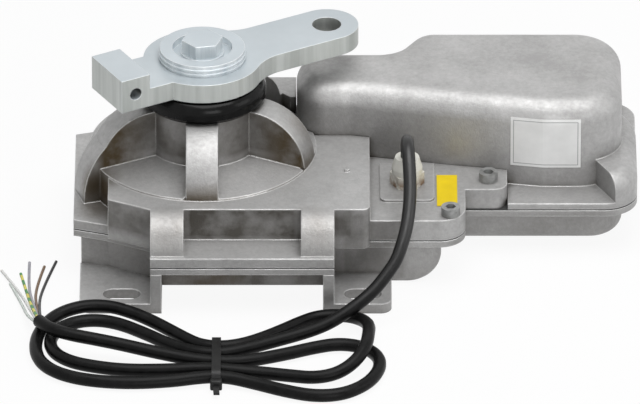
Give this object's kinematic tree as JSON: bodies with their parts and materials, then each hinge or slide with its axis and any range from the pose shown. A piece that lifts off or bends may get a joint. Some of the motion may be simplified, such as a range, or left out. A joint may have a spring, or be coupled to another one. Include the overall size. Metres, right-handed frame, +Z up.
{
  "type": "swing gate motor",
  "caption": "Underground swing gate motor: cast gearbox with ribbed dome, bottle-shaped motor cover, slotted feet, output lever with eye and stop block, and a tied supply cable.",
  "frame": {"origin": "centre of the four foundation slots, on the plane that the feet stand on", "axes": "+Z up along the output shaft, +X from the gearbox towards the motor, +Y away from the cable side"},
  "size_m": [0.3226, 0.283, 0.1172],
  "materials": {
    "cast_aluminium": "as die cast, matt",
    "zinc_plated_steel": "bluish zinc plating",
    "bright_steel": "ground",
    "gear_steel": "hardened",
    "bronze": "machined",
    "copper": "enamelled",
    "ferrite": "sintered",
    "black_rubber": "glossy",
    "cable_jacket": "matt",
    "black_nylon": "matt",
    "cream_nylon": "matt",
    "carbon": "matt",
    "board": "matt",
    "gasket": "matt"
  },
  "bodies": {
    "housing": {"lower_housing": "cast_aluminium", "lower_flange": "cast_aluminium", "front_left_foot": "cast_aluminium", "front_right_foot": "cast_aluminium", "rear_left_foot": "cast_aluminium", "rear_right_foot": "cast_aluminium", "upper_housing": "cast_aluminium", "motor_cover": "cast_aluminium", "parting_gasket": "gasket", "flange_screws": "zinc_plated_steel", "lower_output_bearing": "bright_steel", "upper_output_bearing": "bright_steel", "output_seal": "black_rubber", "layshaft_bearing": "bright_steel", "layshaft_bush": "bronze", "motor_can": "zinc_plated_steel", "front_bell": "cast_aluminium", "rear_bell": "cast_aluminium", "front_motor_bearing": "bright_steel", "rear_motor_bearing": "bright_steel", "encoder_board": "board", "brush_holder": "black_nylon", "front_brush": "carbon", "rear_brush": "carbon", "lower_magnet": "ferrite", "upper_magnet": "ferrite", "gland_body": "cream_nylon", "gland_nut": "cream_nylon", "cable_lead": "cable_jacket", "cable_hank": "cable_jacket", "cable_tie": "black_nylon"},
    "output": {"output_shaft": "gear_steel", "output_gear": "gear_steel", "lever_arm": "zinc_plated_steel", "clamp_disc": "zinc_plated_steel", "bolt_washer": "zinc_plated_steel", "lever_bolt": "zinc_plated_steel"},
    "layshaft": {"layshaft": "gear_steel", "layshaft_pinion": "gear_steel", "worm_wheel": "bronze"},
    "rotor": {"motor_shaft": "bright_steel", "worm": "gear_steel", "rotor_core": "gear_steel", "front_winding": "copper", "rear_winding": "copper", "commutator": "copper", "encoder_disc": "black_nylon"}
  },
  "joints": [
    {"name": "output_turn", "type": "hinge", "parent": "housing", "child": "output", "pos_m": [-0.0214, 0, 0.09], "axis": [0, 0, 1], "range_deg": [-110, 110]},
    {"name": "layshaft_turn", "type": "hinge", "parent": "housing", "child": "layshaft", "pos_m": [0.04445, 0.0045, 0.03], "axis": [0, 0, 1], "range_deg": [-344, 344]},
    {"name": "rotor_turn", "type": "hinge", "parent": "housing", "child": "rotor", "pos_m": [0.1, 0.03325, 0.0375], "axis": [1, 0, 0], "range_deg": [-10320, 10320]}
  ],
  "couplings": [
    {"joint": "layshaft_turn", "follows": "output_turn", "ratio": -3.125},
    {"joint": "rotor_turn", "follows": "output_turn", "ratio": -93.75}
  ]
}
